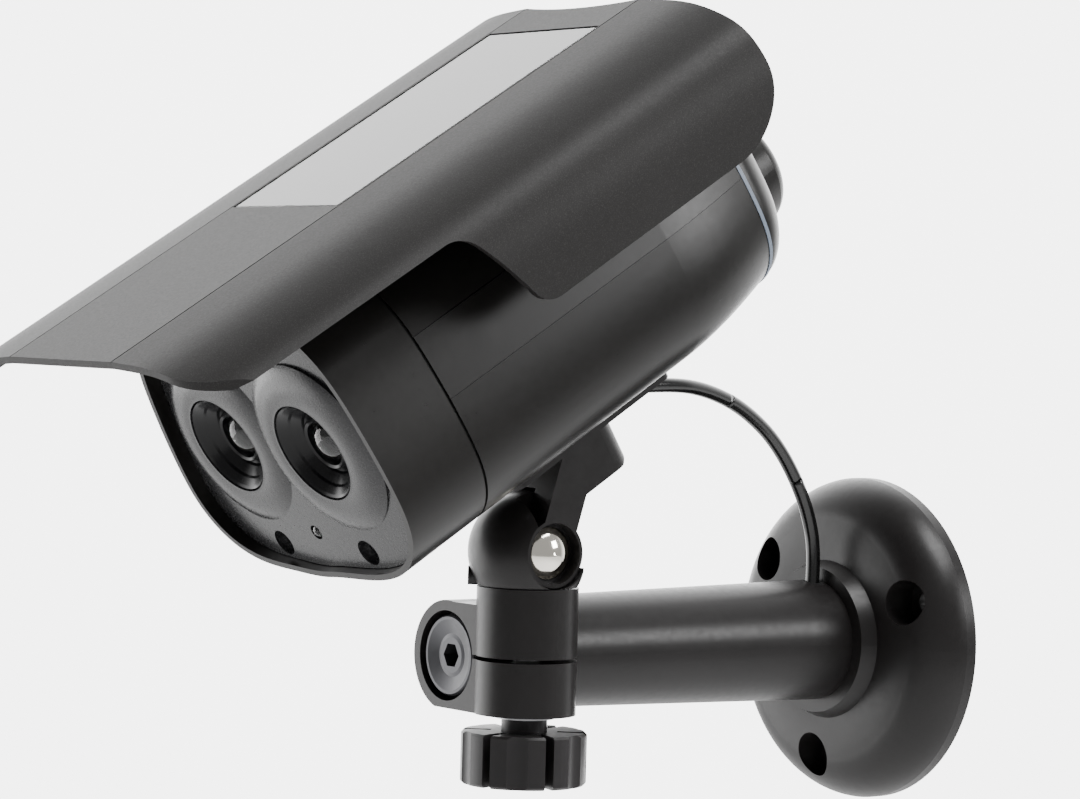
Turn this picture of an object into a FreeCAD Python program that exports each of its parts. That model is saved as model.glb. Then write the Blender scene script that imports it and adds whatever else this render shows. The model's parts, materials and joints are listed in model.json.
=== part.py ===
import FreeCAD, Part
import math
import os

# Bullet security camera with a solar sunshield on a wall bracket.  Millimetres.
# World frame: origin at the centre of the wall flange's back face, wall plane Y = 0,
# the arm points along -Y, +Z is up and +X is to the right of a viewer facing the wall.
# Camera frame, used by every piece of the camera head: origin on the tilt axis,
# x across, y towards the rear along the barrel, z up from the foot to the sunshield.

# Wall bracket
FLANGE_R = 35.0
FLANGE_EDGE_H = 2.6
FLANGE_SHOULDER_R = 26.0
FLANGE_SHOULDER_H = 11.4
COLLAR_ROOT_R = 17.2
COLLAR_ROOT_H = 12.1
COLLAR_R = 15.8
COLLAR_H = 15.4
HOLE_PITCH_R = 26.0
HOLE_R = 2.3
COUNTERBORE_R = 4.8
COUNTERBORE_FLOOR_H = 4.5
HOLE_ANGLES = [22.0, 142.0, 262.0]
ARM_ROOT_R = 13.0
ARM_TIP_R = 11.3
ARM_ROOT_H = 9.0
ARM_SHOULDER_H = 98.0
ARM_BEVEL = 0.8
ARM_BORE_R = 7.5
SPIGOT_R = 9.02
SPIGOT_END_H = 109.5
DISC_R = 8.2
DISC_PLUG_H = 104.0
DISC_FACE_H = 112.6
DISC_SOCKET_AF = 4.5
DISC_SOCKET_FLOOR_H = 107.0
GROMMET_R = 2.4

# Clamp block
RING_BORE_R = 9.1
RING_R = 11.2
RING_BACK_H = 98.3
RING_FACE_H = 113.2
ARM_GAP = 0.4
BARREL_X = 14.8
BARREL_H = 104.1
BARREL_R = 10.2
BARREL_TOP_Z = 14.8
CLAMP_BOTTOM_Z = -10.6
SLIT_HALF = 0.4
SLIT_Z = 0.6
SLIT_START_X = 8.9
BRIDGE_TOP_Z = 11.0
STEM_BORE_R = 6.55
STEM_BORE_Z = 4.5
STUD_R = 3.0
STUD_HOLE_R = 3.3
STUD_TOP_Z = 11.5
STUD_SINK = 2.0

# Clamp knob
KNOB_R = 12.6
KNOB_TOP_Z = -14.0
KNOB_BOTTOM_Z = -24.5
KNOB_NECK_R = 4.6
KNOB_LOBES = 6
FIRST_LOBE_DEG = -42.2
SLOT_WIDTH = 1.8
SLOT_FLOOR_R = 6.6
FLUTE_R = 4.5
FLUTE_DEPTH = 0.7
WASHER_R = 6.0
WASHER_T = 0.8

# Swivel ball and tilt joint
TILT_Z = 21.9
BALL_R = 12.2
BALL_SIDE = 9.7
BALL_REAR_Y = 6.5
BALL_BASE_Z = 15.0
STEM_R = 6.5
STEM_BOTTOM_Z = 4.9
STEM_HOLE_R = 3.08
STEM_HOLE_TOP_Z = 13.0
TONGUE_HALF = 2.45
EYE_R = 6.8
LEG_ROOM = 0.3
LEG_INNER = 2.7
LEG_OUTER = 8.8
LEG_HALF_WIDTH = 4.4
LEG_REAR_HALF = 3.7
LEG_LEAN_DEG = 41.2
TILT_DOWN_DEG = 20.0
TILT_UP_DEG = 32.0
FORK_ROOT_R = 12.8
SCREW_R = 2.0
SCREW_HOLE_R = 2.06
SCREW_END = 9.3
SCREW_HEAD_R = 5.2
HEAD_RECESS_R = 6.1
HEAD_RECESS_FLOOR = 5.9
NUT_AF = 7.0
NUT_T = 2.6

# Camera head
PITCH_DEG = 31.87
FOOT_REAR_Y = 26.6
FOOT_BOTTOM_Z = 6.0
FOOT_CORNER_R = 5.0
PLATE_BOTTOM_Z = 17.7
PLATE_HALF_WIDTH = 14.0
PLATE_FRONT_Y = -4.5
PLATE_REAR_Y = 39.4
PLATE_SCREW_X = [-10.0, 10.0]
PLATE_SCREW_Y = [2.0, 34.0]
WALL = 2.0
# Right half of the body's cross-section, from the bottom centre to the top centre.
SECTION = [(0.0, 21.35), (12.5, 21.8), (23.5, 23.3), (31.2, 27.1), (36.4, 34.6),
           (37.4, 44.0), (36.0, 56.8), (31.7, 70.3), (19.0, 80.5), (0.0, 83.6)]
SECTION_CENTRE_Z = 60.0
RIM_Y = -42.2
SEAM_Y = -23.0
SEAL_HALF = 0.3
BEZEL_WALL = 1.3
TAPER_Y = 36.0
BODY_REAR_Y = 59.8
REAR_SCALE = 0.93
CAP_SHRINK = 0.09
SPLIT_Z = 51.0
SPLIT_GAP = 0.03
MOULD_LINE_Z = 64.3
LINE_HALF = 0.15
LINE_DEPTH = 0.25
SEAL_Y = 60.6
CAP_REAR_Y = 67.0
REAR_KNOB_R = 15.2
REAR_KNOB_TIP_R = 13.2
REAR_KNOB_Z = 40.0
REAR_KNOB_SHOULDER_Y = 84.0
REAR_KNOB_END_Y = 89.0
PANEL_CROWN_Y = -40.8
PANEL_CROWN_Z = 42.0
PANEL_BACK_Y = -36.8
PANEL_CROWN_R = 450.0
LENS_X = 15.0
LENS_Z = 50.0
LENS_RECESS_R = 10.3
SURROUND_R = 18.2
SURROUND_TOP_Y = -41.9
SURROUND_EDGE_H = 40.15
PANEL_DOME_FOOT_H = 38.0
# Lens outlines: radius from the lens axis, distance ahead of the tilt axis.
LENS_SEAT_H = 35.0
LENS_CUP = [(0, 33.5), (10.2, 33.5), (10.2, 41.4), (9.9, 41.7), (9.5, 41.3), (8.5, 40.1), (8.2, 39.6),
            (6.9, 38.1), (6.6, 37.6), (5.6, 36.6), (5.6, LENS_SEAT_H), (0, LENS_SEAT_H)]
LENS_RING = [(4.4, LENS_SEAT_H), (5.5, LENS_SEAT_H), (5.5, 38.6), (5.1, 39.0), (4.6, 38.7), (4.4, 37.6)]
GLASS_R = 4.35
GLASS_EDGE_H = 37.4
GLASS_CROWN_H = 39.8
LED_R = 1.5
LED_FLANGE_R = 1.9
LED_BACK_H = 34.6
LED_EDGE_H = 39.7
LED_CROWN_H = 41.0
BOARD_REAR_Y = -30.8
BOARD_T = 1.6
BOARD_HALF_X = 25.0
BOARD_BOTTOM_Z = 27.0
BOARD_TOP_Z = 66.0
CHIP_T = 1.4
LED_Z = 30.6
FACE_HOLE_X = 14.6
FACE_HOLE_Z = 26.9
FACE_HOLE_R = 2.8
FACE_HEAD_Y = -38.3

# Sunshield with its solar panel
VISOR_TOP_Z = 88.0
VISOR_T = 1.5
CREASE_X = 18.6
CREASE_HALF = 0.16
CREASE_DEPTH = 0.2
REAR_BOW = 1.8
VISOR_FRONT_Y = -71.7
VISOR_REAR_Y = 66.0
# Shoulder and skirt of the sunshield's cross-section, from the crease to the lower edge.
SHOULDER = [(18.6, 88.0), (27.4, 87.3), (34.0, 86.2), (40.3, 83.9),
            (45.9, 79.9), (48.3, 74.2), (48.3, 66.0), (46.6, 56.0)]
# Side view of the sunshield: (y, z) corner and its rounding radius.
SKIRT_CORNERS = [((-80.0, 79.5), 0.0), ((-11.6, 79.3), 6.0), ((-1.3, 58.5), 6.0), ((66.0, 58.7), 14.0),
                 ((66.0, 95.0), 0.0), ((-80.0, 95.0), 0.0)]
POCKET_HALF_X = 18.1
POCKET_FRONT_Y = -15.9
POCKET_REAR_Y = 55.0
POCKET_DEPTH = 1.9
SOLAR_GAP = 0.35
GLASS_T = 0.6
PAD_T = 1.4
RAIL_HALF_X = 8.0
RAIL_FRONT_Y = -14.0
RAIL_REAR_Y = 34.0
VISOR_SCREW_Y = [-4.0, 30.0]
VISOR_SCREW_Z = 79.9
VISOR_SCREW_HOLE_R = 1.46

# Small pan-head screws
HEAD_T = 1.6
CROSS_HALF = 0.35
CROSS_DEPTH = 0.9

# Battery box
TRAY_WALL = 1.5
TRAY_FLOOR_T = 1.8
BATTERY_R = 7.2
BATTERY_L = 50.5
BATTERY_PITCH = 15.4
BATTERY_Z = 36.0
BATTERY_FRONT_Y = -18.0

# Cable between the foot and the arm: route through these points, world frame.
CABLE_R = 1.5
CABLE_ROUTE = [(14.8, -80.0, 54.9), (14.5, -69.0, 55.6), (11.4, -56.5, 54.4), (8.0, -43.5, 50.4),
               (4.6, -30.6, 42.6), (2.4, -20.3, 29.6), (1.9, -16.8, 17.2), (2.1, -18.6, 5.0)]
GLAND_R = 2.8
GLAND_L = 8.5
ARC_SHARE = 0.45

X_AXIS = FreeCAD.Vector(1, 0, 0)
Y_AXIS = FreeCAD.Vector(0, 1, 0)
Z_AXIS = FreeCAD.Vector(0, 0, 1)
OUT = FreeCAD.Vector(0, -1, 0)
TILT_CENTRE = FreeCAD.Vector(BARREL_X, -BARREL_H, TILT_Z)


def vec(x, y, z):
    return FreeCAD.Vector(x, y, z)


def rod(radius, start, direction, length):
    return Part.makeCylinder(radius, length, start, direction)


def block(low, high):
    size = [high[i] - low[i] for i in range(3)]
    return Part.makeBox(size[0], size[1], size[2], vec(*low))


def joined(shapes):
    result = shapes[0]
    for shape in shapes[1:]:
        result = result.fuse(shape)
    return result.removeSplitter()


def turned_edges(wire_edges, origin, direction):
    """Solid of revolution of a closed (radius, 0, height) outline, its height laid along direction."""
    face = Part.Face(Part.Wire(wire_edges))
    solid = face.revolve(vec(0, 0, 0), Z_AXIS, 360)
    solid = Part.makeSolid(Part.Shell(solid.Faces)) if solid.ShapeType != "Solid" else solid
    solid.Placement = FreeCAD.Placement(origin, FreeCAD.Rotation(Z_AXIS, direction))
    return solid


def cap_arc(radius, base, crown):
    """Arc in an (r, 0, h) outline from (radius, base) up to the axis at crown, centred on the axis."""
    rise = crown - base
    arc_r = (radius ** 2 + rise ** 2) / (2 * rise)
    half = radius / 2
    middle = vec(half, 0, crown - arc_r + math.sqrt(arc_r ** 2 - half ** 2))
    return Part.Arc(vec(radius, 0, base), middle, vec(0, 0, crown)).toShape()


def polyline(points):
    closed = list(points) + [points[0]]
    return [Part.LineSegment(closed[i], closed[i + 1]).toShape() for i in range(len(points))]


def turned(outline, origin, direction):
    """Solid of revolution of a straight-sided (radius, height) outline."""
    points = [vec(r, 0, h) for r, h in outline]
    return turned_edges(polyline(points), origin, direction)


def rounded_wire(corners):
    """Closed wire through corner points, each with a tangent arc of its own radius (0 for sharp)."""
    count = len(corners)
    edges = []
    ends = []
    for i in range(count):
        point, radius = corners[i]
        if radius == 0:
            ends.append((point, point))
            continue
        into = corners[i - 1][0].sub(point).normalize()
        out = corners[(i + 1) % count][0].sub(point).normalize()
        half = into.getAngle(out) / 2
        reach = radius / math.tan(half)
        start = point.add(into.multiply(reach))
        end = point.add(out.multiply(reach))
        bisector = start.sub(point).add(end.sub(point)).normalize()
        middle = point.add(bisector.multiply(radius / math.sin(half) - radius))
        edges.append(Part.Arc(start, middle, end).toShape())
        ends.append((start, end))
    for i in range(count):
        first = ends[i][1]
        second = ends[(i + 1) % count][0]
        if first.distanceToPoint(second) > 1e-6:
            edges.append(Part.LineSegment(first, second).toShape())
    return Part.Wire(Part.__sortEdges__(edges))


def section_wire(inset, y, scale=1.0):
    """Cross-section of the camera body at station y, scaled about its centre and moved in by inset."""
    half = [(x * scale, SECTION_CENTRE_Z + (z - SECTION_CENTRE_Z) * scale) for x, z in SECTION]
    points = [vec(x, y, z) for x, z in half + [(-x, z) for x, z in reversed(half[1:-1])]]
    moved = []
    for i, point in enumerate(points):
        ahead = points[(i + 1) % len(points)].sub(points[i - 1])
        ahead.normalize()
        moved.append(vec(point.x - ahead.z * inset, y, point.z + ahead.x * inset))
    curve = Part.BSplineCurve()
    curve.interpolate(moved, PeriodicFlag=True)
    return Part.Wire(curve.toShape())


def outward(shape):
    """The same solid with its faces pointing out."""
    solid = shape.Solids[0].copy()
    if solid.Volume < 0:
        solid.reverse()
    return solid


def section_prism(inset, y_front, y_rear, scale=1.0):
    return outward(Part.Face(section_wire(inset, y_front, scale)).extrude(vec(0, y_rear - y_front, 0)))


def body_form(inset, y_front, y_rear):
    """Solid form of the body: straight, then drawn in smoothly towards the rear."""
    straight = section_prism(inset, y_front, TAPER_Y)
    span = BODY_REAR_Y - TAPER_Y
    stations = [0.0, 0.25, 0.6, 1.0]
    wires = [section_wire(inset, TAPER_Y + span * s, 1 - (1 - REAR_SCALE) * s ** 1.7) for s in stations]
    tail = Part.makeLoft(wires, True, False)
    form = straight.fuse(outward(tail))
    return outward(form.common(block((-60, y_front, 0), (60, y_rear, 100))))


def in_head(shape):
    """Moves a piece from the camera frame to its place on the bracket."""
    moved = shape.copy()
    place = FreeCAD.Placement(TILT_CENTRE, FreeCAD.Rotation(X_AXIS, PITCH_DEG))
    moved.Placement = place.multiply(moved.Placement)
    return moved


def hex_prism(across_flats, start, direction, length):
    corner_r = across_flats / math.sqrt(3)
    points = [vec(corner_r * math.cos(math.radians(60 * i)), corner_r * math.sin(math.radians(60 * i)), 0)
              for i in range(6)]
    prism = Part.Face(Part.makePolygon(points + [points[0]])).extrude(vec(0, 0, length))
    prism.Placement = FreeCAD.Placement(start, FreeCAD.Rotation(Z_AXIS, direction))
    return prism


def small_screw(head, direction, length, head_r, shank_r):
    """Pan-head screw: head is the centre of the head's outer face, direction points along the shank."""
    outline = [(0, 0), (head_r * 0.7, 0), (head_r, 0.5), (head_r, HEAD_T), (shank_r, HEAD_T),
               (shank_r, length), (0, length)]
    screw = turned(outline, head, direction)
    reach = head_r * 0.7
    slot_a = block((-reach, -CROSS_HALF, -0.1), (reach, CROSS_HALF, CROSS_DEPTH))
    slot_b = block((-CROSS_HALF, -reach, -0.1), (CROSS_HALF, reach, CROSS_DEPTH))
    cross = slot_a.fuse(slot_b)
    cross.Placement = FreeCAD.Placement(head, FreeCAD.Rotation(Z_AXIS, direction))
    return screw.cut(cross)


# ---- Wall bracket

def wall_flange():
    edge = vec(FLANGE_R, 0, FLANGE_EDGE_H)
    shoulder = vec(FLANGE_SHOULDER_R, 0, FLANGE_SHOULDER_H)
    root = vec(COLLAR_ROOT_R, 0, COLLAR_ROOT_H)
    edges = [
        Part.LineSegment(vec(0, 0, 0), vec(FLANGE_R, 0, 0)).toShape(),
        Part.LineSegment(vec(FLANGE_R, 0, 0), edge).toShape(),
        Part.Arc(edge, vec(32.9, 0, 7.4), shoulder).toShape(),
        Part.Arc(shoulder, vec(21.7, 0, 12.0), root).toShape(),
        Part.LineSegment(root, vec(COLLAR_R, 0, COLLAR_H)).toShape(),
        Part.LineSegment(vec(COLLAR_R, 0, COLLAR_H), vec(0, 0, COLLAR_H)).toShape(),
        Part.LineSegment(vec(0, 0, COLLAR_H), vec(0, 0, 0)).toShape(),
    ]
    flange = turned_edges(edges, vec(0, 0, 0), OUT)
    flange = flange.cut(rod(ARM_ROOT_R, vec(0, -ARM_ROOT_H, 0), OUT, 20))
    for angle in HOLE_ANGLES:
        x = HOLE_PITCH_R * math.cos(math.radians(angle))
        z = HOLE_PITCH_R * math.sin(math.radians(angle))
        flange = flange.cut(rod(HOLE_R, vec(x, 1, z), OUT, 20))
        flange = flange.cut(rod(COUNTERBORE_R, vec(x, -COUNTERBORE_FLOOR_H, z), OUT, 20))
    return flange


def cable_entry():
    """Axis point and direction of the cable's last run, down into the arm."""
    return vec(*CABLE_ROUTE[-1]), vec(*CABLE_ROUTE[-2]).sub(vec(*CABLE_ROUTE[-1])).normalize()


def arm_solid():
    """The arm without its bore: a cone with a bevelled shoulder and a thinner spigot."""
    shoulder = ARM_SHOULDER_H
    outline = [(0, ARM_ROOT_H), (ARM_ROOT_R, ARM_ROOT_H), (ARM_ROOT_R, COLLAR_H + 2),
               (ARM_TIP_R, shoulder - ARM_BEVEL), (ARM_TIP_R - ARM_BEVEL, shoulder), (SPIGOT_R, shoulder),
               (SPIGOT_R, SPIGOT_END_H), (0, SPIGOT_END_H)]
    return turned(outline, vec(0, 0, 0), OUT)


def arm_tube():
    arm = arm_solid().cut(rod(ARM_BORE_R, vec(0, -ARM_ROOT_H - 2, 0), OUT, 120))
    foot, upward = cable_entry()
    return arm.cut(rod(GROMMET_R, foot, upward, 20))


def arm_grommet():
    """Rubber bush that lines the cable's hole in the top of the arm's wall."""
    foot, upward = cable_entry()
    wall = arm_solid().cut(rod(ARM_BORE_R, vec(0, -ARM_ROOT_H - 2, 0), OUT, 120))
    bush = rod(GROMMET_R, foot, upward, 20).common(wall)
    top = max(bush.Solids, key=lambda part: part.BoundBox.ZMax)
    return top.cut(rod(CABLE_R, foot, upward, 20))


def end_disc():
    """Cover disc on the arm's end: a plug in the bore, a raised rim and a hexagon socket."""
    rim = DISC_FACE_H
    outline = [(0, DISC_PLUG_H), (ARM_BORE_R, DISC_PLUG_H), (ARM_BORE_R, SPIGOT_END_H),
               (DISC_R, SPIGOT_END_H), (DISC_R, rim - 0.4), (DISC_R - 0.4, rim), (DISC_R - 1.0, rim),
               (4.4, rim - 0.9), (3.6, rim - 0.7), (0, rim - 0.7)]
    disc = turned(outline, vec(0, 0, 0), OUT)
    return disc.cut(hex_prism(DISC_SOCKET_AF, vec(0, -DISC_SOCKET_FLOOR_H, 0), OUT, 10))


# ---- Clamp

def clamp_block():
    length = RING_FACE_H - RING_BACK_H
    back = vec(0, -RING_BACK_H, 0)
    ring = rod(RING_R, back, OUT, length)
    bridge = block((0, -RING_FACE_H, CLAMP_BOTTOM_Z), (BARREL_X, -RING_BACK_H, BRIDGE_TOP_Z))
    clamp = joined([ring, bridge, rod(BARREL_R, vec(BARREL_X, -BARREL_H, CLAMP_BOTTOM_Z), Z_AXIS,
                                      BARREL_TOP_Z - CLAMP_BOTTOM_Z)])
    clamp = clamp.cut(block((-20, -120, -20), (40, -90, CLAMP_BOTTOM_Z)))
    clamp = clamp.cut(rod(RING_BORE_R, back, OUT, length))
    clamp = clamp.cut(rod(ARM_TIP_R + ARM_GAP, vec(0, -80, 0), OUT, RING_BACK_H - 80))
    clamp = clamp.cut(block((SLIT_START_X, -120, SLIT_Z - SLIT_HALF), (40, -90, SLIT_Z + SLIT_HALF)))
    clamp = clamp.cut(rod(STUD_HOLE_R, vec(BARREL_X, -BARREL_H, -20), Z_AXIS, 40))
    return clamp.cut(rod(STEM_BORE_R, vec(BARREL_X, -BARREL_H, STEM_BORE_Z), Z_AXIS, 20))


def knob_washer():
    bottom = CLAMP_BOTTOM_Z - WASHER_T
    washer = rod(WASHER_R, vec(BARREL_X, -BARREL_H, bottom), Z_AXIS, WASHER_T)
    return washer.cut(rod(STUD_HOLE_R, vec(BARREL_X, -BARREL_H, bottom - 1), Z_AXIS, 3))


def clamp_knob():
    """Six-lobed hand knob with a slot between lobes, a shallow flute on each, and a neck."""
    height = KNOB_TOP_Z - KNOB_BOTTOM_Z
    edge = KNOB_R - 0.5
    outline = [(0, 0), (edge, 0), (KNOB_R, 0.5), (KNOB_R, height - 0.5), (edge, height), (0, height)]
    knob = turned(outline, vec(0, 0, 0), Z_AXIS)
    lobe_pitch = 360.0 / KNOB_LOBES
    for i in range(KNOB_LOBES):
        lobe_angle = FIRST_LOBE_DEG + lobe_pitch * i
        slot = block((SLOT_FLOOR_R, -SLOT_WIDTH / 2, -1), (20, SLOT_WIDTH / 2, height + 1))
        slot.rotate(vec(0, 0, 0), Z_AXIS, lobe_angle + lobe_pitch / 2)
        flute = rod(FLUTE_R, vec(KNOB_R + FLUTE_R - FLUTE_DEPTH, 0, -1), Z_AXIS, height + 2)
        flute.rotate(vec(0, 0, 0), Z_AXIS, lobe_angle)
        knob = knob.cut(slot).cut(flute)
    neck_top = CLAMP_BOTTOM_Z - WASHER_T - KNOB_BOTTOM_Z
    neck = rod(KNOB_NECK_R, vec(0, 0, height - 1), Z_AXIS, neck_top - height + 1)
    knob = knob.fuse(neck).cut(rod(STUD_R, vec(0, 0, STUD_SINK), Z_AXIS, 20))
    knob.translate(vec(BARREL_X, -BARREL_H, KNOB_BOTTOM_Z))
    return knob


def knob_stud():
    start = KNOB_BOTTOM_Z + STUD_SINK
    return rod(STUD_R, vec(BARREL_X, -BARREL_H, start), Z_AXIS, STUD_TOP_Z - start)


# ---- Swivel ball and tilt joint

def lean(degrees, along, across):
    """Point along a direction that leans the given angle above +Y, in the YZ plane."""
    angle = math.radians(degrees)
    y = math.cos(angle) * along - math.sin(angle) * across
    z = math.sin(angle) * along + math.cos(angle) * across
    return vec(0, y, z)


def polygon_face(points):
    return Part.Face(Part.makePolygon(points + [points[0]]))


def leg_room():
    """Side view of the room both legs need over the tilt travel."""
    rest = LEG_LEAN_DEG + PITCH_DEG
    half = LEG_HALF_WIDTH + LEG_ROOM
    front = rest + TILT_DOWN_DEG
    rear = rest - TILT_UP_DEG
    reach = 22.0
    middle = lean((front + rear) / 2, reach * 1.5, 0)
    return polygon_face([lean(front, 0, half), lean(front, reach, half), middle,
                         lean(rear, reach, -half), lean(rear, 0, -half)])


def swivel_ball():
    base = BALL_BASE_Z - TILT_Z
    ball = Part.makeSphere(BALL_R, vec(0, 0, 0))
    ball = ball.common(block((-BALL_SIDE, -20, base), (BALL_SIDE, BALL_REAR_Y, 20)))
    room = leg_room().extrude(vec(20, 0, 0)).fuse(rod(EYE_R + LEG_ROOM, vec(0, 0, 0), X_AXIS, 20))
    room.translate(vec(TONGUE_HALF, 0, 0))
    stop = rod(2.0, vec(-4.2, -5.6, base + 1.7), vec(-0.6, -0.8, 0), 5.0)
    stop = stop.common(block((-20, -20, base), (20, 20, 20)))
    stem = rod(STEM_R, vec(0, 0, STEM_BOTTOM_Z - TILT_Z), Z_AXIS, BALL_BASE_Z - STEM_BOTTOM_Z + 0.4)
    ball = joined([ball, stop, stem])
    ball = ball.cut(room).cut(room.mirror(vec(0, 0, 0), X_AXIS))
    ball = ball.cut(rod(SCREW_HOLE_R, vec(-20, 0, 0), X_AXIS, 40))
    ball = ball.cut(rod(STEM_HOLE_R, vec(0, 0, -30), Z_AXIS, 30 + STEM_HOLE_TOP_Z - TILT_Z))
    ball.translate(TILT_CENTRE)
    return ball


def camera_foot():
    rise = math.sin(math.radians(LEG_LEAN_DEG))
    slope = math.cos(math.radians(LEG_LEAN_DEG))
    front_start = lean(LEG_LEAN_DEG, 0, LEG_HALF_WIDTH)
    rear_start = lean(LEG_LEAN_DEG, 0, -LEG_REAR_HALF)
    front_top = (PLATE_BOTTOM_Z - front_start.z) / rise
    rear_join = (FOOT_BOTTOM_Z - rear_start.z) / rise
    profile = polygon_face([
        front_start,
        vec(0, front_start.y + slope * front_top, PLATE_BOTTOM_Z),
        vec(0, FOOT_REAR_Y, PLATE_BOTTOM_Z),
        vec(0, FOOT_REAR_Y, FOOT_BOTTOM_Z + 2.6),
        vec(0, FOOT_REAR_Y - 1.0, FOOT_BOTTOM_Z + 0.9),
        vec(0, FOOT_REAR_Y - 3.0, FOOT_BOTTOM_Z),
        vec(0, rear_start.y + slope * rear_join, FOOT_BOTTOM_Z),
        rear_start,
    ])
    profile.translate(vec(-LEG_OUTER, 0, 0))
    foot = profile.extrude(vec(2 * LEG_OUTER, 0, 0))
    foot = foot.fuse(rod(EYE_R, vec(-LEG_OUTER, 0, 0), X_AXIS, 2 * LEG_OUTER)).removeSplitter()
    uprights = [e for e in foot.Edges if e.BoundBox.YMin > FOOT_REAR_Y - 0.01 and e.BoundBox.ZLength > 5]
    foot = foot.makeFillet(FOOT_CORNER_R, uprights)
    foot = foot.cut(rod(FORK_ROOT_R, vec(-LEG_INNER, 0, 0), X_AXIS, 2 * LEG_INNER))
    foot = foot.cut(rod(SCREW_R, vec(-20, 0, 0), X_AXIS, 40))
    foot = foot.cut(rod(HEAD_RECESS_R, vec(HEAD_RECESS_FLOOR, 0, 0), X_AXIS, 10))
    foot = foot.cut(hex_prism(NUT_AF, vec(-HEAD_RECESS_FLOOR, 0, 0), vec(-1, 0, 0), 10))
    return in_head(foot)


def tilt_screw():
    head_base = HEAD_RECESS_FLOOR
    edges = [
        Part.LineSegment(vec(0, 0, -SCREW_END), vec(SCREW_R, 0, -SCREW_END)).toShape(),
        Part.LineSegment(vec(SCREW_R, 0, -SCREW_END), vec(SCREW_R, 0, head_base)).toShape(),
        Part.LineSegment(vec(SCREW_R, 0, head_base), vec(SCREW_HEAD_R, 0, head_base)).toShape(),
        Part.LineSegment(vec(SCREW_HEAD_R, 0, head_base), vec(SCREW_HEAD_R, 0, head_base + 0.7)).toShape(),
        cap_arc(SCREW_HEAD_R, head_base + 0.7, head_base + 2.9),
        Part.LineSegment(vec(0, 0, head_base + 2.9), vec(0, 0, -SCREW_END)).toShape(),
    ]
    return in_head(turned_edges(edges, vec(0, 0, 0), X_AXIS))


def tilt_nut():
    nut = hex_prism(NUT_AF, vec(-HEAD_RECESS_FLOOR, 0, 0), vec(-1, 0, 0), NUT_T)
    return in_head(nut.cut(rod(SCREW_R, vec(-20, 0, 0), X_AXIS, 40)))


def foot_plate(body_solid):
    plate = block((-PLATE_HALF_WIDTH, PLATE_FRONT_Y, PLATE_BOTTOM_Z),
                  (PLATE_HALF_WIDTH, PLATE_REAR_Y, 24.0))
    uprights = [e for e in plate.Edges if abs(e.BoundBox.ZLength) > 3]
    plate = plate.makeFillet(2.0, uprights)
    plate = plate.cut(body_solid)
    for x in PLATE_SCREW_X:
        for y in PLATE_SCREW_Y:
            plate = plate.cut(rod(2.4, vec(x, y, PLATE_BOTTOM_Z), Z_AXIS, 1.8))
            plate = plate.cut(rod(1.2, vec(x, y, PLATE_BOTTOM_Z), Z_AXIS, 10))
    return plate


def foot_screws():
    screws = []
    for x in PLATE_SCREW_X:
        for y in PLATE_SCREW_Y:
            screws.append(in_head(small_screw(vec(x, y, PLATE_BOTTOM_Z + 0.15), Z_AXIS, 6.2, 2.3, 1.15)))
    return Part.makeCompound(screws)


def cable_gland(plate, body_solid):
    """Short boss under the rear of the foot plate; the cable starts at its end face."""
    end = vec(*CABLE_ROUTE[0])
    away = vec(*CABLE_ROUTE[1]).sub(end).normalize()
    gland = rod(GLAND_R, end.sub(vec(away.x * GLAND_L, away.y * GLAND_L, away.z * GLAND_L)), away, GLAND_L)
    return gland.cut(in_head(plate)).cut(in_head(body_solid))


# ---- Camera head

def ring_shell(y_front, y_rear, inset, wall):
    return section_prism(inset, y_front, y_rear).cut(section_prism(inset + wall, y_front - 1, y_rear + 1))


def front_bezel():
    bezel = ring_shell(RIM_Y, SEAM_Y - SEAL_HALF, 0, BEZEL_WALL)
    inner_ledge = ring_shell(PANEL_BACK_Y, PANEL_BACK_Y + 3, 1.2, 1.2)
    return bezel.fuse(inner_ledge)


def front_seal():
    return ring_shell(SEAM_Y - SEAL_HALF, SEAM_Y + SEAL_HALF, 0.55, 1.2)


def body_shells():
    """Upper and lower shell, and the solid outer form that other pieces are cut against."""
    outer = body_form(0, SEAM_Y + SEAL_HALF, BODY_REAR_Y)
    inner = body_form(WALL, SEAM_Y - 2, BODY_REAR_Y + 2)
    inner = inner.fuse(section_prism(WALL, SEAM_Y - 2, SEAM_Y + 1))
    shell = outer.cut(inner)
    line_band = block((-60, -60, MOULD_LINE_Z - LINE_HALF), (60, 60, MOULD_LINE_Z + LINE_HALF))
    groove = ring_shell(SEAM_Y, TAPER_Y + 30, -0.2, 0.2 + LINE_DEPTH).common(line_band)
    lower = shell.common(block((-60, -60, 0), (60, 70, SPLIT_Z - SPLIT_GAP)))
    upper = shell.common(block((-60, -60, SPLIT_Z + SPLIT_GAP), (60, 70, 100)))
    return upper.cut(groove), lower, outer


def lens_surround(side):
    """Domed ring around one lens, from its foot on the panel up to the lens recess."""
    base = PANEL_DOME_FOOT_H
    top = vec(LENS_RECESS_R + 0.5, 0, -SURROUND_TOP_Y)
    edges = [
        Part.LineSegment(vec(0, 0, base), vec(SURROUND_R, 0, base)).toShape(),
        Part.LineSegment(vec(SURROUND_R, 0, base), vec(SURROUND_R, 0, SURROUND_EDGE_H)).toShape(),
        Part.Arc(vec(SURROUND_R, 0, SURROUND_EDGE_H), vec(15.0, 0, 41.6), top).toShape(),
        Part.LineSegment(top, vec(0, 0, -SURROUND_TOP_Y)).toShape(),
        Part.LineSegment(vec(0, 0, -SURROUND_TOP_Y), vec(0, 0, base)).toShape(),
    ]
    return turned_edges(edges, vec(side * LENS_X, 0, LENS_Z), OUT)


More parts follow.
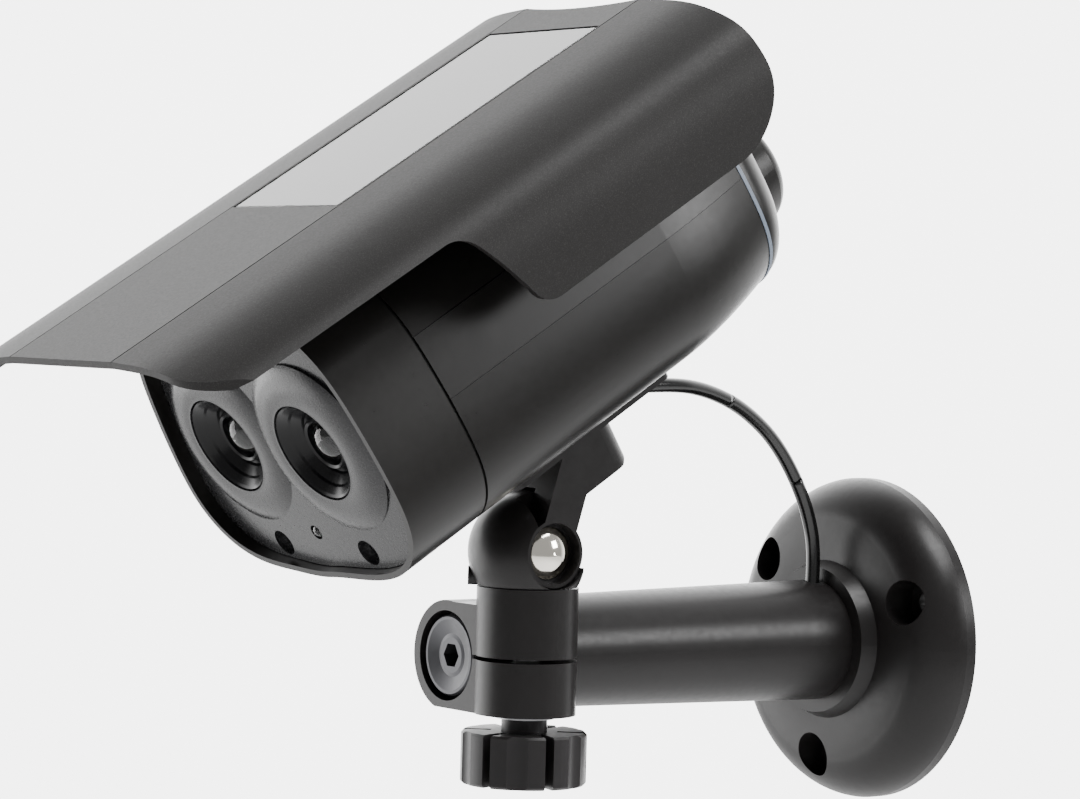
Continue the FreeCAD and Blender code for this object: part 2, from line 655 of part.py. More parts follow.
def face_panel():
    """Slightly crowned panel with two lens surrounds, two screw holes and a lamp hole."""
    slab = section_prism(1.45, -48, PANEL_BACK_Y)
    crown_centre = vec(0, PANEL_CROWN_Y + PANEL_CROWN_R, PANEL_CROWN_Z)
    panel = slab.common(Part.makeSphere(PANEL_CROWN_R, crown_centre))
    room = section_prism(2.3, -48, PANEL_BACK_Y)
    for side in (-1, 1):
        panel = panel.fuse(lens_surround(side).common(room))
    for side in (-1, 1):
        panel = panel.cut(rod(LENS_RECESS_R, vec(side * LENS_X, -30, LENS_Z), OUT, 20))
        panel = panel.cut(rod(FACE_HOLE_R, vec(side * FACE_HOLE_X, -30, FACE_HOLE_Z), OUT, 20))
    return panel.cut(rod(LED_R + 0.1, vec(0, -30, LED_Z), OUT, 20))


def lens_cup(side):
    return turned(LENS_CUP, vec(side * LENS_X, 0, LENS_Z), OUT)


def lens_ring(side):
    return turned(LENS_RING, vec(side * LENS_X, 0, LENS_Z), OUT)


def lens_glass(side):
    edges = [
        Part.LineSegment(vec(0, 0, LENS_SEAT_H), vec(GLASS_R, 0, LENS_SEAT_H)).toShape(),
        Part.LineSegment(vec(GLASS_R, 0, LENS_SEAT_H), vec(GLASS_R, 0, GLASS_EDGE_H)).toShape(),
        cap_arc(GLASS_R, GLASS_EDGE_H, GLASS_CROWN_H),
        Part.LineSegment(vec(0, 0, GLASS_CROWN_H), vec(0, 0, LENS_SEAT_H)).toShape(),
    ]
    return turned_edges(edges, vec(side * LENS_X, 0, LENS_Z), OUT)


def led_lamp():
    flange_h = LED_BACK_H + 1.0
    edges = [
        Part.LineSegment(vec(0, 0, LED_BACK_H), vec(LED_FLANGE_R, 0, LED_BACK_H)).toShape(),
        Part.LineSegment(vec(LED_FLANGE_R, 0, LED_BACK_H), vec(LED_FLANGE_R, 0, flange_h)).toShape(),
        Part.LineSegment(vec(LED_FLANGE_R, 0, flange_h), vec(LED_R, 0, flange_h)).toShape(),
        Part.LineSegment(vec(LED_R, 0, flange_h), vec(LED_R, 0, LED_EDGE_H)).toShape(),
        cap_arc(LED_R, LED_EDGE_H, LED_CROWN_H),
        Part.LineSegment(vec(0, 0, LED_CROWN_H), vec(0, 0, LED_BACK_H)).toShape(),
    ]
    return turned_edges(edges, vec(0, 0, LED_Z), OUT)


def face_screws():
    screws = []
    for side in (-1, 1):
        head = vec(side * FACE_HOLE_X, FACE_HEAD_Y, FACE_HOLE_Z)
        screws.append(in_head(small_screw(head, Y_AXIS, 5.6, 2.4, 1.2)))
    return Part.makeCompound(screws)


def circuit_board():
    board = block((-BOARD_HALF_X, BOARD_REAR_Y - BOARD_T, BOARD_BOTTOM_Z),
                  (BOARD_HALF_X, BOARD_REAR_Y, BOARD_TOP_Z))
    chip = block((-6, BOARD_REAR_Y, 44.0), (6, BOARD_REAR_Y + CHIP_T, 54.0))
    return board.fuse(chip)


def battery_box():
    half = 1.5 * BATTERY_PITCH + TRAY_WALL
    front = BATTERY_FRONT_Y - 3.6
    rear = BATTERY_FRONT_Y + BATTERY_L + 5.6
    floor = BATTERY_Z - BATTERY_R - 2.0
    tray = block((-half, front, floor), (half, rear, BATTERY_Z + 3))
    room = block((-half + TRAY_WALL, front + TRAY_WALL, floor + TRAY_FLOOR_T),
                 (half - TRAY_WALL, rear - TRAY_WALL, 60))
    return tray.cut(room)


def batteries():
    cells = []
    for i in (-1, 0, 1):
        x = i * BATTERY_PITCH
        cell = rod(BATTERY_R, vec(x, BATTERY_FRONT_Y, BATTERY_Z), Y_AXIS, BATTERY_L - 1.4)
        tip_y = BATTERY_FRONT_Y + BATTERY_L - 1.5
        cells.append(cell.fuse(rod(2.6, vec(x, tip_y, BATTERY_Z), Y_AXIS, 1.5)))
    return Part.makeCompound([in_head(c) for c in cells])


def battery_contacts():
    plates = []
    rear = BATTERY_FRONT_Y + BATTERY_L
    spring_outline = [(0, 0), (3.2, 0), (2.0, 1.9), (0, 1.9)]
    for i in (-1, 0, 1):
        x = i * BATTERY_PITCH
        tab = block((x - 4, rear + 0.1, BATTERY_Z - 4), (x + 4, rear + 0.6, BATTERY_Z + 4))
        spring = turned(spring_outline, vec(x, BATTERY_FRONT_Y - 2.0, BATTERY_Z), Y_AXIS)
        plates += [in_head(tab), in_head(spring)]
    return Part.makeCompound(plates)


def rear_seal():
    outer = section_prism(-0.15, BODY_REAR_Y, SEAL_Y, REAR_SCALE)
    return outer.cut(section_prism(1.6, BODY_REAR_Y - 1, SEAL_Y + 1, REAR_SCALE))


def rear_cap():
    span = CAP_REAR_Y - SEAL_Y
    stations = [0.0, 0.35, 0.7, 1.0]
    wires = [section_wire(0.1, SEAL_Y + span * s, REAR_SCALE - CAP_SHRINK * s ** 2) for s in stations]
    cap = Part.makeLoft(wires, True, False)
    hollow = section_prism(6.0, SEAL_Y - 1, SEAL_Y + 3.5, REAR_SCALE)
    return outward(cap).cut(hollow)


def rear_knob():
    base = CAP_REAR_Y
    shoulder = REAR_KNOB_SHOULDER_Y
    end = REAR_KNOB_END_Y
    edges = [
        Part.LineSegment(vec(0, 0, base), vec(REAR_KNOB_R, 0, base)).toShape(),
        Part.LineSegment(vec(REAR_KNOB_R, 0, base), vec(REAR_KNOB_TIP_R, 0, shoulder)).toShape(),
        Part.Arc(vec(REAR_KNOB_TIP_R, 0, shoulder), vec(REAR_KNOB_TIP_R - 1.2, 0, shoulder + 2.1),
                 vec(REAR_KNOB_TIP_R - 3.4, 0, shoulder + 3.3)).toShape(),
        cap_arc(REAR_KNOB_TIP_R - 3.4, shoulder + 3.3, end),
        Part.LineSegment(vec(0, 0, end), vec(0, 0, base)).toShape(),
    ]
    return turned_edges(edges, vec(0, 0, REAR_KNOB_Z), Y_AXIS)


# ---- Sunshield

def inner_line(points, depth):
    """Points moved inward, square to the curve through their neighbours."""
    moved = []
    for i, (x, z) in enumerate(points):
        x0, z0 = points[max(i - 1, 0)]
        x1, z1 = points[min(i + 1, len(points) - 1)]
        length = math.hypot(x1 - x0, z1 - z0)
        moved.append((x + (z1 - z0) / length * depth, z - (x1 - x0) / length * depth))
    return moved


def spline_edge(points):
    curve = Part.BSplineCurve()
    curve.interpolate([vec(x, 0, z) for x, z in points])
    return curve.toShape()


def straight(a, b):
    """Straight edge between two (x, z) points of a cross-section."""
    return Part.LineSegment(vec(a[0], 0, a[1]), vec(b[0], 0, b[1])).toShape()


def visor_sheet():
    """The bent sheet at its full length, before its ends and lower edges are shaped."""
    inner = inner_line(SHOULDER, VISOR_T)
    inner[0] = (CREASE_X, VISOR_TOP_Z - VISOR_T)
    left_outer = [(-x, z) for x, z in reversed(SHOULDER)]
    left_inner = [(-x, z) for x, z in reversed(inner)]
    edges = [
        spline_edge(left_outer),
        straight(left_outer[-1], SHOULDER[0]),
        spline_edge(SHOULDER),
        straight(SHOULDER[-1], inner[-1]),
        spline_edge(inner),
        straight(inner[0], left_inner[-1]),
        spline_edge(left_inner),
        straight(left_inner[0], left_outer[0]),
    ]
    profile = Part.Face(Part.Wire(Part.__sortEdges__(edges)))
    profile.translate(vec(0, VISOR_FRONT_Y, 0))
    return profile.extrude(vec(0, VISOR_REAR_Y - VISOR_FRONT_Y, 0))


def visor_outlines():
    """Two prisms whose common room is the sunshield's side view and its plan view."""
    side_corners = [(vec(-60, y, z), r) for (y, z), r in SKIRT_CORNERS]
    side = Part.Face(rounded_wire(side_corners)).extrude(vec(120, 0, 0))
    right = [((60, -58), 0.0), ((48.5, -58), 8.0), ((41, VISOR_FRONT_Y), 9.0)]
    left = [((-x, y), r) for (x, y), r in reversed(right)]
    plan_corners = right + left + [((-60, 80), 0.0), ((60, 80), 0.0)]
    plan_wire = rounded_wire([(vec(x, y, 40), r) for (x, y), r in plan_corners])
    return side, Part.Face(plan_wire).extrude(vec(0, 0, 60))


def visor():
    """Sunshield sheet with a pad for its screws, a pocket for the solar panel and two creases."""
    under = VISOR_TOP_Z - VISOR_T
    pad = block((-21, POCKET_FRONT_Y - 3, under - PAD_T), (21, POCKET_REAR_Y + 3, under + 0.2))
    side, plan = visor_outlines()
    shade = visor_sheet().fuse(pad).common(side).common(plan)
    bow_r = (CREASE_X ** 2 + REAR_BOW ** 2) / (2 * REAR_BOW)
    bow = rod(bow_r, vec(0, VISOR_REAR_Y + bow_r - REAR_BOW, 60), Z_AXIS, 40)
    shade = shade.cut(bow.common(block((-CREASE_X - 0.5, 60, 60), (CREASE_X + 0.5, 80, 100))))
    shade = shade.cut(block((-POCKET_HALF_X, POCKET_FRONT_Y, VISOR_TOP_Z - POCKET_DEPTH),
                            (POCKET_HALF_X, POCKET_REAR_Y, VISOR_TOP_Z + 5)))
    for x in (-CREASE_X, CREASE_X):
        shade = shade.cut(block((x - CREASE_HALF, VISOR_FRONT_Y - 1, VISOR_TOP_Z - CREASE_DEPTH),
                                (x + CREASE_HALF, VISOR_REAR_Y + 1, VISOR_TOP_Z + 1)))
    return drilled(shade)


def solar_panel():
    low = (-POCKET_HALF_X + SOLAR_GAP, POCKET_FRONT_Y + SOLAR_GAP, VISOR_TOP_Z - POCKET_DEPTH)
    high = (POCKET_HALF_X - SOLAR_GAP, POCKET_REAR_Y - SOLAR_GAP, VISOR_TOP_Z - GLASS_T - 0.1)
    return block(low, high)


def solar_glass():
    low = (-POCKET_HALF_X + SOLAR_GAP, POCKET_FRONT_Y + SOLAR_GAP, VISOR_TOP_Z - GLASS_T - 0.1)
    high = (POCKET_HALF_X - SOLAR_GAP, POCKET_REAR_Y - SOLAR_GAP, VISOR_TOP_Z - 0.1)
    glass = block(low, high)
    top = [e for e in glass.Edges if e.BoundBox.ZMin > VISOR_TOP_Z - 0.2]
    return glass.makeChamfer(0.25, top)


def drilled(shape):
    """Holes for the two screws that come up through the body, the rail and the sunshield's pad."""
    for y in VISOR_SCREW_Y:
        shape = shape.cut(rod(VISOR_SCREW_HOLE_R, vec(0, y, VISOR_SCREW_Z + 1), Z_AXIS, 5.0))
    return shape


def visor_rail():
    rail = block((-RAIL_HALF_X, RAIL_FRONT_Y, 76),
                 (RAIL_HALF_X, RAIL_REAR_Y, VISOR_TOP_Z - VISOR_T - PAD_T))
    return drilled(rail.cut(section_prism(0, SEAM_Y, TAPER_Y)))


def visor_screws():
    screws = [small_screw(vec(0, y, VISOR_SCREW_Z), Z_AXIS, 5.8, 2.9, 1.4) for y in VISOR_SCREW_Y]
    return Part.makeCompound([in_head(s) for s in screws])


# ---- Cable

def cable():
    """Straight runs joined by tangent arcs, swept by a round section."""
    points = [vec(*p) for p in CABLE_ROUTE]
    edges = []
    last = points[0]
    for i in range(1, len(points) - 1):
        into = points[i - 1].sub(points[i])
        out = points[i + 1].sub(points[i])
        shorter = min(into.Length, out.Length)
        into.normalize()
        out.normalize()
        turn = math.pi - into.getAngle(out)
        reach = ARC_SHARE * shorter
        radius = reach / math.tan(turn / 2)
        start = points[i].add(vec(into.x * reach, into.y * reach, into.z * reach))
        end = points[i].add(vec(out.x * reach, out.y * reach, out.z * reach))
        inward = into.add(out).normalize()
        depth = radius / math.cos(turn / 2) - radius
        middle = points[i].add(vec(inward.x * depth, inward.y * depth, inward.z * depth))
        edges.append(Part.LineSegment(last, start).toShape())
        edges.append(Part.Arc(start, middle, end).toShape())
        last = end
        print("cable point %d: turn %.1f deg, arc radius %.1f mm" % (i, math.degrees(turn), radius))
    edges.append(Part.LineSegment(last, points[-1]).toShape())
    path = Part.Wire(edges)
    first = points[1].sub(points[0]).normalize()
    section = Part.Wire(Part.makeCircle(CABLE_R, points[0], first))
    tube = path.makePipeShell([section], True, False)
    expected = math.pi * CABLE_R ** 2 * path.Length
    print("cable length %.1f mm, volume %.1f of %.1f mm3" % (path.Length, tube.Volume, expected))
    return tube


def export(name, shape):
    solids = shape.Solids
    good = all(s.isValid() and s.Volume > 0 for s in solids)
    print("%-20s solids %d volume %9.1f valid %s" % (name, len(solids), shape.Volume, good))
    shape.exportStep("parts/%s.step" % name)


def main():
    os.makedirs("parts", exist_ok=True)
    upper, lower, body_solid = body_shells()
    plate = foot_plate(body_solid)
    foot = camera_foot()
    upper = drilled(upper)
    for x in PLATE_SCREW_X:
        for y in PLATE_SCREW_Y:
            lower = lower.cut(rod(1.2, vec(x, y, PLATE_BOTTOM_Z), Z_AXIS, 10))
    pieces = {
        "wall_flange": wall_flange(),
        "arm_tube": arm_tube(),
        "arm_grommet": arm_grommet(),
        "end_disc": end_disc(),
        "clamp_block": clamp_block(),
        "knob_washer": knob_washer(),
        "clamp_knob": clamp_knob(),
        "knob_stud": knob_stud(),
        "swivel_ball": swivel_ball(),
        "camera_foot": foot,
        "tilt_screw": tilt_screw(),
        "tilt_nut": tilt_nut(),
        "foot_plate": in_head(plate),
        "foot_screws": foot_screws(),
        "cable_gland": cable_gland(plate, body_solid),
        "lower_shell": in_head(lower),
        "upper_shell": in_head(upper),
        "front_bezel": in_head(front_bezel()),
        "front_seal": in_head(front_seal()),
        "face_panel": in_head(face_panel()),
        "led_lamp": in_head(led_lamp()),
        "face_screws": face_screws(),
        "circuit_board": in_head(circuit_board()),
        "battery_box": in_head(battery_box()),
        "batteries": batteries(),
        "battery_contacts": battery_contacts(),
        "rear_seal": in_head(rear_seal()),
        "rear_cap": in_head(rear_cap()),
        "rear_knob": in_head(rear_knob()),
        "visor": in_head(visor()),
        "solar_panel": in_head(solar_panel()),
        "solar_glass": in_head(solar_glass()),
        "visor_rail": in_head(visor_rail()),
        "visor_screws": visor_screws(),
        "cable": cable(),
    }
    for side, name in ((-1, "left"), (1, "right")):
        pieces["lens_cup_" + name] = in_head(lens_cup(side))
        pieces["lens_ring_" + name] = in_head(lens_ring(side))
        pieces["lens_glass_" + name] = in_head(lens_glass(side))
    for name, shape in pieces.items():
        export(name, shape)


main()
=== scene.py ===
import json
import math

import bmesh
import bpy
from mathutils import Matrix, Vector


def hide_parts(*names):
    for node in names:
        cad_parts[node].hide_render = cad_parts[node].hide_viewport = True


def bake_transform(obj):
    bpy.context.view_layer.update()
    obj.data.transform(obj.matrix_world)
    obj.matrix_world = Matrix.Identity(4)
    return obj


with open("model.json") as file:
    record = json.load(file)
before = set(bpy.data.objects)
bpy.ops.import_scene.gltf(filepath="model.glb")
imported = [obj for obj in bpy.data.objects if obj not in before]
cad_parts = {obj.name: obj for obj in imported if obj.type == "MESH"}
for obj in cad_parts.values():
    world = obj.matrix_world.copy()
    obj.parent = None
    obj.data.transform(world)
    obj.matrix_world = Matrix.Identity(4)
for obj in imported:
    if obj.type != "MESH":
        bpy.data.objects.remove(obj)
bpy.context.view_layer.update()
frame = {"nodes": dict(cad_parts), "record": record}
nodes = frame["nodes"]

MM = 0.001
PITCH = math.radians(31.87)
TILT_CENTRE = Vector((14.8, -104.1, 21.9)) * MM

# Camera: where it stands, looks and leans
VIEW_AZ = 53.18
VIEW_EL = 1.42
VIEW_ROLL = 1.51
VIEW_DISTANCE = 0.7923
LENS_MM = 120.57
LOOK_AT = Vector((-0.0417, -0.060, 0.0504))

# Cable: the route of part.py, in metres
CABLE_D = 0.003
CABLE_ROUTE = [(0.0148, -0.0800, 0.0549), (0.0145, -0.0690, 0.0556), (0.0114, -0.0565, 0.0544),
               (0.0080, -0.0435, 0.0504), (0.0046, -0.0306, 0.0426), (0.0024, -0.0203, 0.0296),
               (0.0019, -0.0168, 0.0172), (0.0021, -0.0186, 0.0050)]
CABLE_SIDES = 24
CABLE_STEPS = 120
# Each tube covers the stretch across one joint: name, the two bodies, first and last step
CABLE_SPANS = [("cable_wall", "bracket", "clamp", 0, 40), ("cable_middle", "clamp", "swivel", 40, 80),
               ("cable_camera", "swivel", "camera", 80, CABLE_STEPS)]

# Finishes
BUMP_STRENGTH = 0.35
CREASE_X = 0.0186
SPECKLE_SCALE = 5200.0
SPECKLE_COLOUR = (0.30, 0.29, 0.28)
FLAKE_SCALE = 2600.0
CELL_COLOUR = (0.034, 0.031, 0.027)
BUSBAR_COLOUR = (0.15, 0.145, 0.14)
# Axis of the head, pitch in metres, share of the pitch that the line takes, strength
CELL_LINES = [("Y", 0.00092, 0.14, 0.16), ("Y", 0.0118, 0.035, 0.45), ("X", 0.0181, 0.025, 0.5)]
FINISHES = {
    "bracket_metal": dict(base=(0.0095, 0.0085, 0.0085), rough=0.34, spec=0.26, grain=700.0,
                          grain_depth=0.03),
    "end_metal": dict(base=(0.060, 0.060, 0.064), rough=0.34, metallic=0.75, grain=1200.0),
    "knob_plastic": dict(base=(0.0135, 0.0122, 0.0126), rough=0.36, spec=0.3),
    "steel": dict(base=(0.40, 0.40, 0.41), rough=0.32, metallic=1.0),
    "chrome": dict(base=(0.84, 0.80, 0.72), spread=0.03, rough=0.10, rough_spread=0.03, metallic=1.0,
                   grain=400.0, grain_depth=0.05),
    "rubber": dict(base=(0.008, 0.008, 0.008), rough=0.6, spec=0.2),
    "pale_seal": dict(base=(0.16, 0.19, 0.24), rough=0.35),
    "cable_sheath": dict(base=(0.005, 0.005, 0.005), rough=0.18, rough_spread=0.04, spec=0.5),
    "body_plastic": dict(base=(0.0072, 0.0066, 0.0062), rough=0.30, rough_spread=0.05, spec=0.26,
                         grain=800.0, grain_depth=0.012),
    "face_plastic": dict(base=(0.014, 0.014, 0.015), rough=0.26, spec=0.34, speckle=0.10, sparkle=0.5,
                         grain_depth=0.03),
    "lens_black": dict(base=(0.0025, 0.0025, 0.003), rough=0.24, rough_spread=0.04, spec=0.22),
    # The sunshield's darker top-strip colour is painted shade, not a different plastic
    "visor_plastic": dict(base=(0.0110, 0.0102, 0.0100), rough=0.50, spec=0.19, speckle=0.05,
                          grain=1800.0, grain_depth=0.04, painted_strip_shade=(0.0090, 0.0083, 0.0080)),
    "inner_plastic": dict(base=(0.02, 0.02, 0.02), rough=0.5),
    "battery_wrap": dict(base=(0.03, 0.10, 0.28), rough=0.3),
    "circuit": dict(base=(0.01, 0.09, 0.03), rough=0.4),
    "clear_glass": dict(base=(0.95, 0.96, 0.97), spread=0.02, rough=0.03, rough_spread=0.01, spec=0.5,
                        transmission=1.0, grain_depth=0.001),
}

# Stage and light
FLOOR_HALF = 2.2
FLOOR_Z = -0.45
SWEEP_DIRECTION = (-0.80, 0.60, 0.0)
SWEEP_RANGE = (0.15, 1.0)
SWEEP_LEVEL = 5.6
ROOM_LEVEL = 0.45
LIGHT_AIM = (0.01, -0.10, 0.06)
# Name, place, width, power
LIGHTS = [("softbox_left", (-0.9, -0.75, -0.05), 0.9, 8.0), ("softbox_top", (0.55, 0.1, 1.1), 0.6, 17.0),
          ("softbox_right", (0.9, 0.6, 0.45), 0.35, 7.0)]


def make_camera():
    az, el, roll = (math.radians(a) for a in (VIEW_AZ, VIEW_EL, VIEW_ROLL))
    back = Vector((math.sin(az) * math.cos(el), -math.cos(az) * math.cos(el), math.sin(el)))
    right = (-back).cross(Vector((0, 0, 1))).normalized()
    up = right.cross(-back)
    right, up = math.cos(roll) * right + math.sin(roll) * up, math.cos(roll) * up - math.sin(roll) * right
    cam = bpy.data.objects.new("camera", bpy.data.cameras.new("camera"))
    bpy.context.scene.collection.objects.link(cam)
    cam.data.sensor_width = 36.0
    cam.data.lens = LENS_MM
    turn = Matrix((right, up, back)).transposed().to_4x4()
    cam.matrix_world = Matrix.Translation(LOOK_AT + back * VIEW_DISTANCE) @ turn
    bpy.context.scene.camera = cam


def mesh_object(name, verts, faces, smooth=True):
    mesh = bpy.data.meshes.new(name)
    mesh.from_pydata([tuple(v) for v in verts], [], faces)
    mesh.validate()
    made = bmesh.new()
    made.from_mesh(mesh)
    bmesh.ops.recalc_face_normals(made, faces=made.faces)
    made.to_mesh(mesh)
    made.free()
    for face in mesh.polygons:
        face.use_smooth = smooth
    obj = bpy.data.objects.new(name, mesh)
    bpy.context.scene.collection.objects.link(obj)
    return obj


def spline_points(route):
    curve = bpy.data.curves.new("route", "CURVE")
    curve.dimensions = "3D"
    curve.resolution_u = 32
    spline = curve.splines.new("NURBS")
    spline.points.add(len(route) - 1)
    for point, place in zip(spline.points, route):
        point.co = (*place, 1.0)
    spline.order_u = 3
    spline.use_endpoint_u = True
    holder = bpy.data.objects.new("route", curve)
    bpy.context.scene.collection.objects.link(holder)
    bpy.context.view_layer.update()
    line = bpy.data.meshes.new_from_object(holder)
    points = [v.co.copy() for v in line.vertices]
    bpy.data.objects.remove(holder)
    return points


def resampled(points, count):
    """Evenly spaced points along a polyline."""
    reach = [0.0]
    for a, b in zip(points, points[1:]):
        reach.append(reach[-1] + (b - a).length)
    out = []
    k = 0
    for i in range(count + 1):
        want = reach[-1] * i / count
        while k < len(points) - 2 and reach[k + 1] < want:
            k += 1
        share = (want - reach[k]) / max(reach[k + 1] - reach[k], 1e-9)
        out.append(points[k].lerp(points[k + 1], min(share, 1.0)))
    return out, reach[-1]


def tube_rings(points, radius):
    side = Vector((1, 0, 0))
    rings = []
    for i, point in enumerate(points):
        ahead = (points[min(i + 1, len(points) - 1)] - points[max(i - 1, 0)]).normalized()
        side = (side - ahead * side.dot(ahead)).normalized()
        other = ahead.cross(side)
        turns = [2 * math.pi * k / CABLE_SIDES for k in range(CABLE_SIDES)]
        rings.append([point + (side * math.cos(t) + other * math.sin(t)) * radius for t in turns])
    return rings


def make_cable():
    """Three tubes end to end, one across each joint."""
    points, length = resampled(spline_points(CABLE_ROUTE), CABLE_STEPS)
    points.reverse()
    rings = tube_rings(points, CABLE_D / 2)
    for name, first, second, a, b in CABLE_SPANS:
        verts = [v for ring in rings[a:b + 1] for v in ring]
        faces = []
        for i in range(b - a):
            for k in range(CABLE_SIDES):
                j = (k + 1) % CABLE_SIDES
                row, above = i * CABLE_SIDES, (i + 1) * CABLE_SIDES
                faces.append((row + k, row + j, above + j, above + k))
        faces.append(tuple(range(CABLE_SIDES))[::-1])
        faces.append(tuple((b - a) * CABLE_SIDES + k for k in range(CABLE_SIDES)))
        tube = mesh_object(name, verts, faces)
        for face in tube.data.polygons:
            face.use_smooth = len(face.vertices) == 4
        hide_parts("cable")
        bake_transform(tube)
        paint(tube, "cable_sheath")


# ---- Materials

def new_material(name):
    mat = bpy.data.materials.new(name)
    mat.use_nodes = True
    return mat, mat.node_tree.nodes, mat.node_tree.links, mat.node_tree.nodes["Principled BSDF"]


def add(nodes_, kind, **values):
    node = nodes_.new(kind)
    for key, value in values.items():
        if key in node.inputs:
            node.inputs[key].default_value = value
        else:
            setattr(node, key, value)
    return node


def object_noise(ns, ls, scale, detail):
    coords = ns.new("ShaderNodeTexCoord")
    texture = add(ns, "ShaderNodeTexNoise", Scale=scale, Detail=detail)
    ls.new(coords.outputs["Object"], texture.inputs["Vector"])
    return texture.outputs["Fac"]


def ranged(ns, ls, value, low, high, from_low=0.0, from_high=1.0):
    node = ns.new("ShaderNodeMapRange")
    node.inputs["From Min"].default_value = from_low
    node.inputs["From Max"].default_value = from_high
    node.inputs["To Min"].default_value = low
    node.inputs["To Max"].default_value = high
    ls.new(value, node.inputs["Value"])
    return node.outputs["Result"]


def blended(ns, ls, share, first, second):
    """Mix of two colours; each is a socket or an (r, g, b) tuple."""
    node = add(ns, "ShaderNodeMix", data_type="RGBA")
    ls.new(share, node.inputs[0])
    for socket, colour in ((node.inputs[6], first), (node.inputs[7], second)):
        if isinstance(colour, tuple):
            socket.default_value = (*colour, 1)
        else:
            ls.new(colour, socket)
    return node.outputs[2]


def scaled(colour, factor):
    return tuple(min(c * factor, 1.0) for c in colour)


def finish_material(name, base, spread=0.12, rough=0.4, rough_spread=0.08, grain=900.0, grain_depth=0.02,
                    speckle=0.0, metallic=0.0, coat=0.0, spec=0.3, transmission=0.0, sparkle=0.0,
                    painted_strip_shade=None):
    """Moulded, painted or metal finish: slow colour drift, fine grain in roughness and bump, speckle.

    The last argument is painted shade: a darker colour laid on the flat strip along the top of the
    sunshield.
    """
    mat, ns, ls, bsdf = new_material(name)
    slow = object_noise(ns, ls, 35.0, 4.0)
    fine = object_noise(ns, ls, grain, 3.0)
    drift = ranged(ns, ls, slow, 0.0, 1.0, 0.3, 0.7)
    shade = blended(ns, ls, drift, scaled(base, 1 - spread), scaled(base, 1 + spread))
    # Painted shade: the sunshield's top strip is laid in a darker colour
    if painted_strip_shade:
        shade = blended(ns, ls, strip_shade_mask(ns, ls), shade, painted_strip_shade)
    if speckle > 0:
        spots = ranged(ns, ls, object_noise(ns, ls, SPECKLE_SCALE, 1.0), 0.0, speckle, 0.52, 0.72)
        shade = blended(ns, ls, spots, shade, SPECKLE_COLOUR)
    ls.new(shade, bsdf.inputs["Base Color"])
    gloss = ranged(ns, ls, fine, max(rough - rough_spread, 0.02), rough + rough_spread)
    ls.new(gloss, bsdf.inputs["Roughness"])
    bump = add(ns, "ShaderNodeBump", Strength=BUMP_STRENGTH, Distance=grain_depth * MM)
    height = fine
    if sparkle > 0:
        coords = ns.new("ShaderNodeTexCoord")
        flakes = add(ns, "ShaderNodeTexVoronoi", Scale=FLAKE_SCALE)
        ls.new(coords.outputs["Object"], flakes.inputs["Vector"])
        height = flakes.outputs["Distance"]
        bump.inputs["Strength"].default_value = sparkle
    ls.new(height, bump.inputs["Height"])
    ls.new(bump.outputs["Normal"], bsdf.inputs["Normal"])
    bsdf.inputs["Metallic"].default_value = metallic
    bsdf.inputs["Coat Weight"].default_value = coat
    bsdf.inputs["Specular IOR Level"].default_value = spec
    bsdf.inputs["Transmission Weight"].default_value = transmission
    return mat


def strip_shade_mask(ns, ls):
    """1 on the flat strip between the sunshield's two creases, 0 outside it; it places the painted shade
    on that strip.
    """
    coords = ns.new("ShaderNodeTexCoord")
    axes = ns.new("ShaderNodeSeparateXYZ")
    ls.new(coords.outputs["Object"], axes.inputs["Vector"])
    aside = add(ns, "ShaderNodeMath", operation="SUBTRACT")
    aside.inputs[1].default_value = TILT_CENTRE.x
    ls.new(axes.outputs["X"], aside.inputs[0])
    width = add(ns, "ShaderNodeMath", operation="ABSOLUTE")
    ls.new(aside.outputs[0], width.inputs[0])
    return ranged(ns, ls, width.outputs[0], 1.0, 0.0, CREASE_X - 0.0001, CREASE_X + 0.0001)


def repeated_line(ns, ls, place, pitch, width):
    """1 on lines of the given share of each pitch, 0 between them."""
    cells = add(ns, "ShaderNodeMath", operation="DIVIDE")
    cells.inputs[1].default_value = pitch
    ls.new(place, cells.inputs[0])
    part = add(ns, "ShaderNodeMath", operation="FRACT")
    ls.new(cells.outputs[0], part.inputs[0])
    line = add(ns, "ShaderNodeMath", operation="LESS_THAN")
    line.inputs[1].default_value = width
    ls.new(part.outputs[0], line.inputs[0])
    return line.outputs[0]


def cell_material():
    """Solar cells with thin busbars and faint fingers, laid out in the head's own axes."""
    mat, ns, ls, bsdf = new_material("solar_cells")
    coords = ns.new("ShaderNodeTexCoord")
    turn = add(ns, "ShaderNodeMapping", vector_type="TEXTURE")
    turn.inputs["Location"].default_value = TILT_CENTRE
    turn.inputs["Rotation"].default_value = (PITCH, 0, 0)
    ls.new(coords.outputs["Object"], turn.inputs["Vector"])
    axes = ns.new("ShaderNodeSeparateXYZ")
    ls.new(turn.outputs["Vector"], axes.inputs["Vector"])
    shade = CELL_COLOUR
    for axis, pitch, width, strength in CELL_LINES:
        line = repeated_line(ns, ls, axes.outputs[axis], pitch, width)
        shade = blended(ns, ls, ranged(ns, ls, line, 0.0, strength), shade, BUSBAR_COLOUR)
    ls.new(shade, bsdf.inputs["Base Color"])
    gloss = ranged(ns, ls, object_noise(ns, ls, 500.0, 3.0), 0.24, 0.36)
    ls.new(gloss, bsdf.inputs["Roughness"])
    bsdf.inputs["Specular IOR Level"].default_value = 0.5
    return mat


made_materials = {}


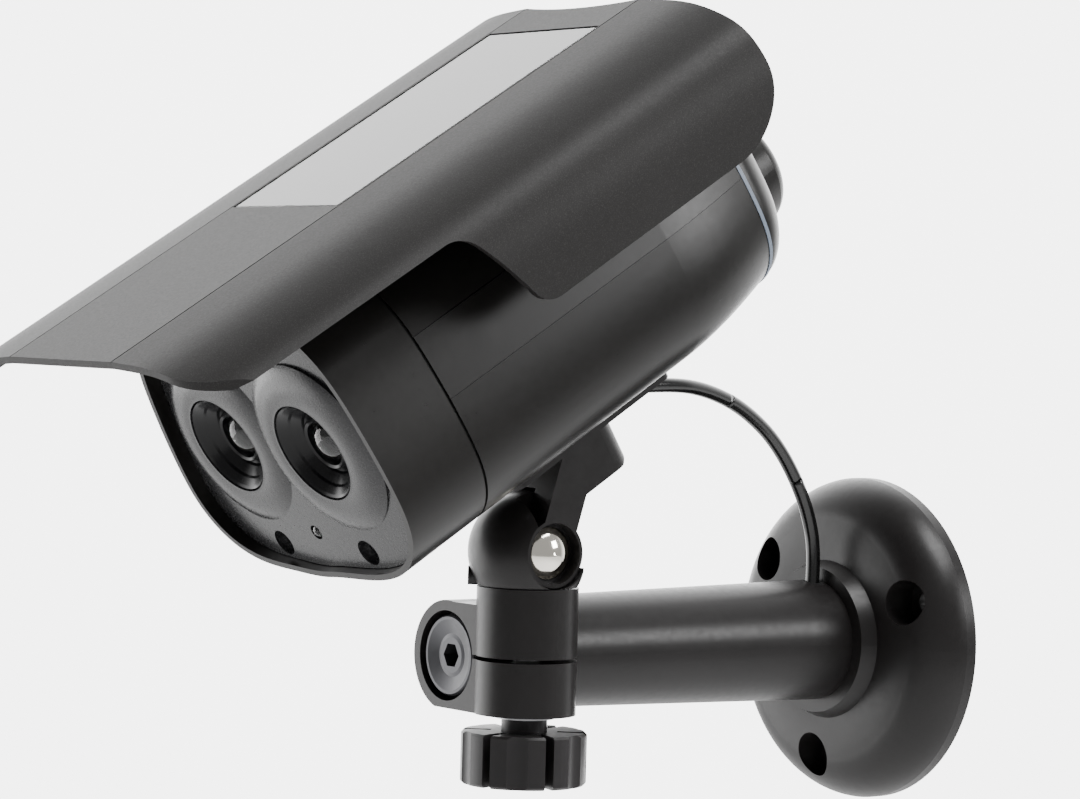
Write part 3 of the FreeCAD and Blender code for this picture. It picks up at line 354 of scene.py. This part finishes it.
def paint(obj, slot):
    if slot not in made_materials:
        if slot == "solar_cells":
            made_materials[slot] = cell_material()
        else:
            made_materials[slot] = finish_material(slot, **FINISHES[slot])
    obj.data.materials.clear()
    obj.data.materials.append(made_materials[slot])


def paint_nodes():
    slots = {row["node"]: row["material_slot"] for row in frame["record"]["subparts"]}
    for name, obj in nodes.items():
        paint(obj, slots[name])


# ---- Stage

def soft_light(name, place, aim, size, power):
    lamp = bpy.data.lights.new(name, "AREA")
    lamp.shape = "SQUARE"
    lamp.size = size
    lamp.energy = power
    obj = bpy.data.objects.new(name, lamp)
    obj.location = place
    obj.rotation_mode = "QUATERNION"
    obj.rotation_quaternion = (Vector(aim) - Vector(place)).to_track_quat("-Z", "Y")
    bpy.context.scene.collection.objects.link(obj)


def make_floor():
    half, low = FLOOR_HALF, FLOOR_Z
    corners = [(-half, -half, low), (half, -half, low), (half, half, low), (-half, half, low)]
    floor = mesh_object("floor", corners, [(0, 1, 2, 3)])
    mat, ns, ls, bsdf = new_material("floor_paper")
    tone = ranged(ns, ls, object_noise(ns, ls, 60.0, 2.0), 0.0, 1.0)
    ls.new(blended(ns, ls, tone, (0.88, 0.88, 0.88), (0.92, 0.92, 0.92)), bsdf.inputs["Base Color"])
    bsdf.inputs["Roughness"].default_value = 0.9
    floor.data.materials.append(mat)


def make_world():
    """White sweep on the wall side, falling to a dimmer room on the open side."""
    world = bpy.data.worlds.new("studio")
    bpy.context.scene.world = world
    world.use_nodes = True
    ns, ls = world.node_tree.nodes, world.node_tree.links
    coords = ns.new("ShaderNodeTexCoord")
    facing = add(ns, "ShaderNodeVectorMath", operation="DOT_PRODUCT")
    facing.inputs[1].default_value = SWEEP_DIRECTION
    ls.new(coords.outputs["Generated"], facing.inputs[0])
    level = ranged(ns, ls, facing.outputs["Value"], ROOM_LEVEL, SWEEP_LEVEL, *SWEEP_RANGE)
    ls.new(level, ns["Background"].inputs["Strength"])
    ns["Background"].inputs["Color"].default_value = (1, 1, 1, 1)


make_camera()
make_cable()
paint_nodes()
make_floor()
make_world()
for light_name, light_place, light_size, light_power in LIGHTS:
    soft_light(light_name, light_place, LIGHT_AIM, light_size, light_power)
